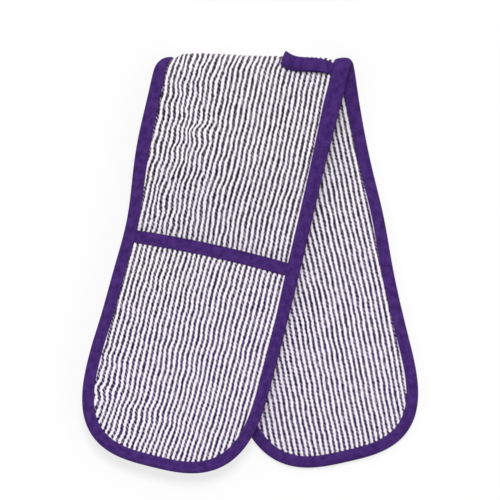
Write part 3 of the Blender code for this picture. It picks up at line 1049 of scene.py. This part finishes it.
def linear(colour):
    shares = (value / 255 for value in colour)
    return *(c / 12.92 if c <= 0.04045 else ((c + 0.055) / 1.055) ** 2.4 for c in shares), 1.0


class Value:
    """What a node gives out, with the usual signs for sums with it."""

    def __init__(self, nodes, socket):
        self.nodes = nodes
        self.socket = socket

    def __add__(self, other):
        return self.nodes.math("ADD", self, other)

    def __sub__(self, other):
        return self.nodes.math("SUBTRACT", self, other)

    def __mul__(self, other):
        return self.nodes.math("MULTIPLY", self, other)

    def __abs__(self):
        return self.nodes.math("ABSOLUTE", self)


class Nodes:
    """Short calls for the nodes of a material or of the world."""

    def __init__(self, owner):
        owner.use_nodes = True
        self.owner = owner
        self.tree = owner.node_tree

    def feed(self, name, values):
        """Links or sets a node's inputs, by their names or indices."""
        inputs = self.tree.nodes[name].inputs
        for key, value in values.items():
            if isinstance(value, Value):
                self.tree.links.new(value.socket, inputs[key])
            else:
                inputs[key].default_value = value

    def add(self, kind, values, output=0, **settings):
        node = self.tree.nodes.new(kind)
        for key, value in settings.items():
            setattr(node, key, value)
        self.feed(node.name, values)
        return Value(self, node.outputs[output])

    def math(self, operation, *values):
        return self.add("ShaderNodeMath", dict(enumerate(values)), operation=operation)

    def weave(self):
        """The cloth's own coordinates, together and apart."""
        uv = self.add("ShaderNodeUVMap", {}, uv_map="Weave")
        return uv, *(self.add("ShaderNodeSeparateXYZ", {0: uv}, axis) for axis in (0, 1))

    def camera_ray(self):
        return self.add("ShaderNodeLightPath", {}, "Is Camera Ray")

    def combine(self, x, y, z=0.0):
        return self.add("ShaderNodeCombineXYZ", {0: x, 1: y, 2: z})

    def noise(self, vector, scale, detail=3.0, roughness=0.55):
        values = {"Vector": vector, "Scale": scale, "Detail": detail, "Roughness": roughness}
        return self.add("ShaderNodeTexNoise", values, "Fac")

    def random(self, x, y):
        values = {"Vector": self.combine(x, y)}
        return self.add("ShaderNodeTexWhiteNoise", values, "Value", noise_dimensions="2D")

    def ramp(self, value, low, high, start=0.0, stop=1.0):
        values = dict(enumerate((value, low, high, start, stop)))
        return self.add("ShaderNodeMapRange", values, interpolation_type="SMOOTHSTEP")

    def mix(self, share, one, two, blend="MIX"):
        values = {0: share, 6: one, 7: two}
        return self.add("ShaderNodeMix", values, 2, data_type="RGBA", blend_type=blend)

    def between(self, share, colours):
        return self.mix(share, *(linear(colour) for colour in colours))

    # Multiplies a colour by light: painted shade in the hollows of the weave and between a thread's plies,
    # and darker and lighter from fibre to fibre.
    def shade(self, colour, light):
        return self.mix(1.0, colour, self.combine(light, light, light), "MULTIPLY")

    def tweed(self, u, v, size, pitch):
        """A plain weave's crossing threads. size is how long one unit of u and v is."""
        one, two = (self.math("SINE", axis * (2 * pi * size / pitch)) for axis in (u, v))
        return one * two * 0.5 + 0.5

    def finish(self, colour, height, depth):
        """height is 0 to 1, and depth is how deep it goes."""
        normal = self.add("ShaderNodeBump", {"Strength": 0.6, "Distance": depth, "Height": height})
        self.feed(SHADER, {"Base Color": colour, "Normal": normal})
        return self.owner


def shader_nodes(name, roughness, sheen=0.0):
    nodes = Nodes(bpy.data.materials.new(name))
    nodes.feed(SHADER, {"Roughness": roughness, "Specular IOR Level": 0.12})
    nodes.feed(SHADER, {"Sheen Weight": sheen, "Sheen Roughness": 0.6})
    return nodes


def slanted_strokes(nodes, uv, u, v):
    """The dye between the cords: the place across its stripe, each stroke's tone, and how dyed it is."""
    stripe = nodes.math("ROUND", u)
    x = u - stripe
    wobble = nodes.noise(uv, 1.3) - 0.5
    ragged = nodes.noise(uv, 6.5, detail=1.0) - 0.5
    scatter = nodes.random(stripe, 3.0) * STROKE_SCATTER + wobble * STROKE_WOBBLE
    along = v * (STRIPE / STROKE) - x * (STROKE_SLOPE * STRIPE / STROKE) + scatter
    number = nodes.math("FLOOR", along)
    tone = nodes.random(stripe, number)
    from_middle = nodes.math("FRACT", along) - 0.5
    square_end = STROKE_SQUARENESS * STROKE_SLOPE / (1 + STROKE_SLOPE**2) * STROKE / STRIPE
    nudge = (nodes.random(number, stripe) - 0.5) * STROKE_NUDGE
    sideways = abs(x + from_middle * square_end + nudge) + ragged * STROKE_RAGGED
    inside = nodes.ramp(sideways, STROKE_REACH - 0.02, STROKE_REACH + 0.03, 1.0, 0.0)
    past_end = abs(from_middle) - tone * STROKE_VARIES - STROKE_SHARE / 2
    stroke = nodes.ramp(past_end, -0.03, 0.03, 1.0, 0.0)
    fleck = nodes.ramp(nodes.noise(uv, 5.0, detail=2.0), 0.36, 0.44, 0.40, 1.0)
    return x, tone, inside * stroke * fleck


def quilting_stitches(nodes, u, v, side):
    """1 on the stitches along the diamonds' seams."""
    courses = [(u * (turn * side) + v) * STRIPE - QUILT_ALONG - turn * QUILT_ACROSS for turn in (1, -1)]
    sewn = []
    for from_seam, along_seam in (courses, courses[::-1]):
        off_line = nodes.math("PINGPONG", from_seam, DIAMOND / 2)
        gap = nodes.math("PINGPONG", along_seam, STITCH * 0.7)
        line = nodes.ramp(off_line, SEAM_SHARP, SEAM_BLURRED, 1.0, 0.0)
        sewn.append(line * nodes.ramp(gap, STITCH * 0.15, STITCH * 0.22))
    return nodes.math("MAXIMUM", *sewn)


def striped_cotton(name, side):
    """White cords between bands of slanted dark violet strokes. side is 1, or -1 on a turned cloth."""
    nodes = shader_nodes(name, 0.92)
    uv, u, v = nodes.weave()
    x, tone, dyed = slanted_strokes(nodes, uv, u, v)
    band = nodes.ramp(abs(x), BAND_SHARE - BAND_BLUR, BAND_SHARE + BAND_BLUR, 1.0, 0.0)
    from_fold = nodes.ramp(abs(v) + u * (TONE_LEAN * side), TONE_FROM / STRIPE, TONE_TO / STRIPE)
    dark = nodes.mix(tone, nodes.between(from_fold, DEEP_STROKES), nodes.between(from_fold, FADED_STROKES))
    white = nodes.between(nodes.noise(uv, 0.25), WHITE_CORDS)
    ground = nodes.mix(band, white, nodes.between(from_fold, BLED_DYE))
    thread = quilting_stitches(nodes, u, v, side)
    colour = nodes.mix(thread * 0.8, nodes.mix(dyed, ground, dark), linear(QUILTING_THREAD))
    fibre = nodes.noise(uv, 9.0, detail=4.0)
    weave = nodes.tweed(u, v, STRIPE, 0.00050)
    colour = nodes.shade(colour, fibre * 0.10 + weave * 0.05 + 0.90)
    return nodes.finish(colour, weave * 0.5 + thread * 0.8 + fibre * 0.5, 0.00012)


def purple_cotton(name):
    """Plain woven tape with a mottled dye."""
    nodes = shader_nodes(name, 0.85)
    uv, u, v = nodes.weave()
    mottle = nodes.ramp(nodes.noise(uv, 1.6, detail=5.0, roughness=0.6), 0.32, 0.68)
    weave = nodes.tweed(u, v, TAPE_WIDTH, 0.00045)
    fibre = nodes.noise(uv, 22.0, detail=4.0)
    colour = nodes.shade(nodes.between(mottle, PURPLE_DYE), fibre * 0.28 + weave * 0.20 + 0.75)
    return nodes.finish(colour, weave * 0.6 + fibre * 0.6, 0.00028)


def lining_cotton(name):
    nodes = shader_nodes(name, 0.95, sheen=0.08)
    uv, u, v = nodes.weave()
    weave = nodes.tweed(u, v, STRIPE, 0.00060)
    fibre = nodes.noise(uv, 7.0, detail=4.0)
    cloth = nodes.between(nodes.noise(uv, 0.4), UNBLEACHED)
    return nodes.finish(nodes.shade(cloth, fibre * 0.12 + weave * 0.08 + 0.86), weave + fibre, 0.00012)


def wadding_fibre(name):
    nodes = shader_nodes(name, 1.0, sheen=0.2)
    uv, _, _ = nodes.weave()
    clumps = nodes.noise(uv, 1.2, detail=6.0, roughness=0.7)
    fibre = nodes.noise(uv, 14.0, detail=5.0, roughness=0.7)
    return nodes.finish(nodes.between(clumps, FIBRE_WHITE), clumps + fibre * 0.5, 0.0006)


def sewing_thread(name):
    """Two plies twisted round each other."""
    nodes = shader_nodes(name, 0.6)
    _, u, v = nodes.weave()
    ply = nodes.math("PINGPONG", nodes.math("FRACT", (u + v) * 2.0), 0.5)
    return nodes.finish(nodes.shade(linear(PURPLE_THREAD), ply * 0.8 + 0.6), ply, 0.0001)


STRIPED_OUT = striped_cotton("striped_cotton_out", 1)
STRIPED_IN = striped_cotton("striped_cotton_in", -1)
PURPLE = purple_cotton("purple_tape")
LINING = lining_cotton("pocket_lining_cotton")
WADDING = wadding_fibre("cotton_wadding")
THREAD = sewing_thread("purple_thread")

# Pieces

STRIP_FIELD = settle_quilt(seed=11)
POCKET_FIELD = settle_quilt(seed=23)

OUTSIDE = Quilt(
    STRIP_FIELD,
    seed=31,
    relief=(0.0007, QUILT_DEPTH),
    proud=(0, 0.0004),
    lean=(-0.0024, -0.0006),
    wander=0.0007,
    rumple=0.0022,
    rumpled_at=(0.105, -0.060),
    pushes=((0.147, -0.019, -0.0024), (0.089, 0.045, 0.0015), (0.166, 0.047, -0.0014)),
)
INSIDE = Quilt(STRIP_FIELD, seed=47, relief=(QUILT_DEPTH, QUILT_DEPTH), lean=(0.0010, 0.0010))
POCKET = Quilt(
    POCKET_FIELD,
    seed=59,
    relief=(0.0006, 0.0009),
    proud=(0, 0.0003),
    lean=(-0.0006, -0.0004),
    wander=0.0012,
    rumple=0.0034,
    rumpled_at=(0.386, -0.064),
    pushes=(
        (0.221, 0.009, -0.0016),
        (0.273, 0.032, -0.0020),
        (0.285, -0.032, -0.0020),
        (0.339, -0.012, 0.0030),
        (0.395, -0.016, 0.0024),
    ),
)
POCKET_INSIDE = Quilt(POCKET_FIELD, seed=71, relief=(0.0004, 0.0004))

STRIP_FACE = Layer(OUTSIDE, panel_top, 1, STRIPED_OUT)
STRIP_BACK = Layer(INSIDE, panel_bottom, -1, STRIPED_IN)
POCKET_COVER = Layer(POCKET, pocket_top, 1, STRIPED_OUT)
POCKET_LINING = Layer(POCKET_INSIDE, pocket_bottom, -1, LINING, "lining_cotton", corded=False)

EDGE = Binding(TAPE_WIDTH, edge_levels, (TAPE_SWELL, TAPE_SWELL), seed=83)
MOUTH_EDGE = Binding(MOUTH_TAPE_WIDTH, mouth_levels, (TAPE_SWELL, 0), seed=89)


def put(piece, body, *nodes):
    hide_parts(*nodes)
    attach(piece, body)


def declare_cloth(piece):
    """Works out the flat area of a cloth's own cut."""
    uv = np.empty(2 * len(piece.data.loops))
    piece.data.uv_layers["Weave"].data.foreach_get("uv", uv)
    corners = uv.reshape(-1, 4, 2) * STRIPE
    one, two = (corners[:, i + 2] - corners[:, i] for i in (0, 1))
    area = np.abs(one[:, 0] * two[:, 1] - one[:, 1] * two[:, 0]).sum() / 4


def dress_half(half):
    name = half.body.split("_")[0]
    end = half.length - HEM
    slant = GRAIN_SLANT if half is REAR else 0
    open_rows = rows_by(FOLD_REACH, MOUTH, ROW)
    face_rows = np.concatenate([open_rows, rows_by(MOUTH, end, HIDDEN_ROW)[1:]])

    def stretch(start, step):
        return [(half, rows_by(start, end, step))]

    face = cloth_piece(f"{name}_face_cloth", [(half, face_rows)], STRIP_FACE)
    back = cloth_piece(f"{name}_back_cloth", stretch(FOLD_REACH, ROW), STRIP_BACK, slant)
    fill = wadding_piece(f"{name}_strip_filling", stretch(FOLD_REACH, 2 * ROW), STRIP_FACE, STRIP_BACK)
    pocket = cloth_piece(f"{name}_pocket_cloth", stretch(POCKET_FROM, ROW), POCKET_COVER)
    inside = cloth_piece(f"{name}_pocket_inside", stretch(POCKET_FROM, 2 * ROW), POCKET_LINING)
    pad = wadding_piece(f"{name}_pocket_filling", stretch(PAD_FROM, 2 * ROW), POCKET_COVER, POCKET_LINING)
    edge = tape_piece(f"{name}_edge_tape", EDGE, edge_rims, half)
    mouth = tape_piece(f"{name}_mouth_tape", MOUTH_EDGE, mouth_rims, half)
    stitches = stitch_piece(f"{name}_edge_stitches", EDGE, edge_rims, half)
    mouth_stitches = stitch_piece(f"{name}_mouth_stitches", MOUTH_EDGE, mouth_rims, half)
    for piece, node in (
        (face, "panel_face"),
        (fill, "panel_wadding"),
        (back, "panel_back"),
        (pocket, "pocket_cover"),
        (pad, "pocket_wadding"),
        (inside, "pocket_lining"),
        (mouth, "mouth_binding"),
        (edge, "edge_binding"),
    ):
        put(piece, half.body, f"{name}_{node}")
    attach(stitches, half.body)
    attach(mouth_stitches, half.body)
    declare_cloth(face)
    declare_cloth(back)
    declare_cloth(pocket)
    declare_cloth(inside)


def dress_fold():
    """The strip over the fold, laid round it."""
    rear_rows = rows_by(FOLD_ROW, FOLD_REACH, FOLD_ROW)
    stretches = [(REAR, rear_rows), (FRONT, rows_by(0, FOLD_REACH, FOLD_ROW))]
    face = cloth_piece("fold_face_cloth", stretches, STRIP_FACE)
    back = cloth_piece("fold_back_cloth", stretches, STRIP_BACK)
    fill = wadding_piece("fold_filling", stretches, STRIP_FACE, STRIP_BACK)
    trim = []
    for side, word in ((1, "right"), (-1, "left")):
        trim.append(tape_piece(f"fold_{word}_tape", EDGE, fold_rims, side))
        trim.append(stitch_piece(f"fold_{word}_stitches", EDGE, fold_rims, side))
    for piece in [face, back, fill, *trim]:
        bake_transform(piece)
    declare_cloth(face)
    declare_cloth(back)


dress_half(REAR)
dress_half(FRONT)
dress_fold()

tape = loop_tape()
put(tape, "loop", "hanging_loop")


# Floor, light and camera


def white_floor():
    """A pale table, lit up only for the camera."""
    nodes = shader_nodes("white_table", 0.9)
    nodes.feed(SHADER, {"Base Color": linear(TABLE_WHITE)})
    surface = Value(nodes, nodes.tree.nodes[SHADER].outputs[0])
    glow = nodes.add("ShaderNodeEmission", {})
    both = nodes.add("ShaderNodeMixShader", {0: nodes.camera_ray() * FLOOR_GLOW, 1: surface, 2: glow})
    nodes.feed("Material Output", {"Surface": both})
    mesh = bpy.data.meshes.new("table_top")
    corners = ((-1, -1), (1, -1), (1, 1), (-1, 1))
    mesh.from_pydata([(x * FLOOR_REACH, y * FLOOR_REACH, 0) for x, y in corners], [], [(0, 1, 2, 3)])
    mesh.materials.append(nodes.owner)
    floor = add_object("table_top", mesh)
    floor.location.z = -FLOOR_GAP


def light():
    """A soft lamp and an even sky, which is white where the camera sees it."""
    nodes = Nodes(bpy.data.worlds.new("studio"))
    values = {"Value": nodes.camera_ray(), "To Min": SKY_LIGHT, "To Max": 1.0}
    nodes.feed("Background", {"Color": (1, 1, 1, 1), "Strength": nodes.add("ShaderNodeMapRange", values)})
    bpy.context.scene.world = nodes.owner
    lamp = bpy.data.lights.new("window", "SUN")
    lamp.energy = LAMP_LIGHT
    lamp.angle = LAMP_SOFTNESS
    sun = add_object("window", lamp)
    sun.rotation_euler = Vector(LAMP_FROM).to_track_quat("Z", "Y").to_euler()


def camera():
    lens = bpy.data.cameras.new("overhead")
    lens.sensor_width = SENSOR_MM
    lens.lens = SENSOR_MM * CAMERA_HEIGHT / VIEW_WIDTH
    lens.clip_end = VIEW_DEPTH
    eye = add_object("overhead", lens)
    eye.location = (*VIEW_CENTRE, CAMERA_HEIGHT + 2 * HALF_HEIGHT)
    eye.rotation_euler = (0, 0, VIEW_ROLL)
    bpy.context.scene.camera = eye


white_floor()
light()
camera()
bpy.context.scene.view_settings.view_transform = "Standard"
